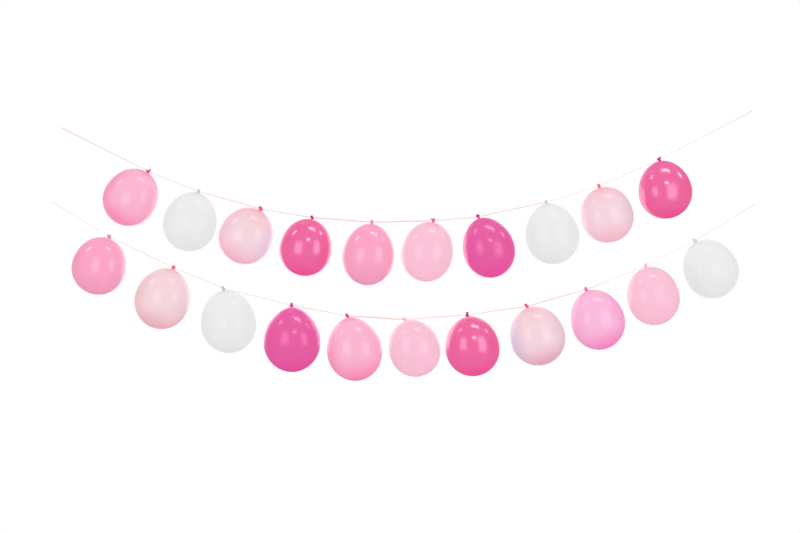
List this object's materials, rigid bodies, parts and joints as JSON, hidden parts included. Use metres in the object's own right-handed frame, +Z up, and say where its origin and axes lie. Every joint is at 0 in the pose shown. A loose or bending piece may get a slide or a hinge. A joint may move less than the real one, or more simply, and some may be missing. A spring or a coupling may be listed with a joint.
{
  "type": "balloon garland",
  "caption": "Double swag of small latex balloons, knotted at the neck along two drooping ribbons, in pinks, magenta, pearl and white, for hanging on a wall.",
  "frame": {"origin": "centre of the cut left end of the upper ribbon, where it is tied up", "axes": "+X along the garland to the right, +Y away from the viewer towards the wall behind, +Z up"},
  "size_m": [1.5506, 0.125, 0.5936],
  "materials": {
    "latex_pink": "glossy stretched latex",
    "latex_rose": "glossy stretched latex",
    "latex_light_pink": "glossy stretched latex",
    "latex_candy_pink": "glossy stretched latex",
    "latex_pearl_pink": "pearlescent glossy stretched latex",
    "latex_hot_pink": "glossy stretched latex",
    "latex_magenta": "glossy stretched latex",
    "latex_white": "glossy stretched latex",
    "ribbon": "satin pale coral ribbon"
  },
  "bodies": {
    "root": {"upper_ribbon": "ribbon", "upper_balloon_01_pink": "latex_pink", "upper_balloon_02_white": "latex_white", "upper_balloon_03_pearl_pink": "latex_pearl_pink", "upper_balloon_04_hot_pink": "latex_hot_pink", "upper_balloon_05_rose": "latex_rose", "upper_balloon_06_light_pink": "latex_light_pink", "upper_balloon_07_magenta": "latex_magenta", "upper_balloon_08_white": "latex_white", "upper_balloon_09_pearl_pink": "latex_pearl_pink", "upper_balloon_10_hot_pink": "latex_hot_pink", "lower_ribbon": "ribbon", "lower_balloon_01_rose": "latex_rose", "lower_balloon_02_pearl_pink": "latex_pearl_pink", "lower_balloon_03_white": "latex_white", "lower_balloon_04_magenta": "latex_magenta", "lower_balloon_05_pink": "latex_pink", "lower_balloon_06_light_pink": "latex_light_pink", "lower_balloon_07_hot_pink": "latex_hot_pink", "lower_balloon_08_pearl_pink": "latex_pearl_pink", "lower_balloon_09_candy_pink": "latex_candy_pink", "lower_balloon_10_light_pink": "latex_light_pink", "lower_balloon_11_white": "latex_white"}
  },
  "joints": []
}
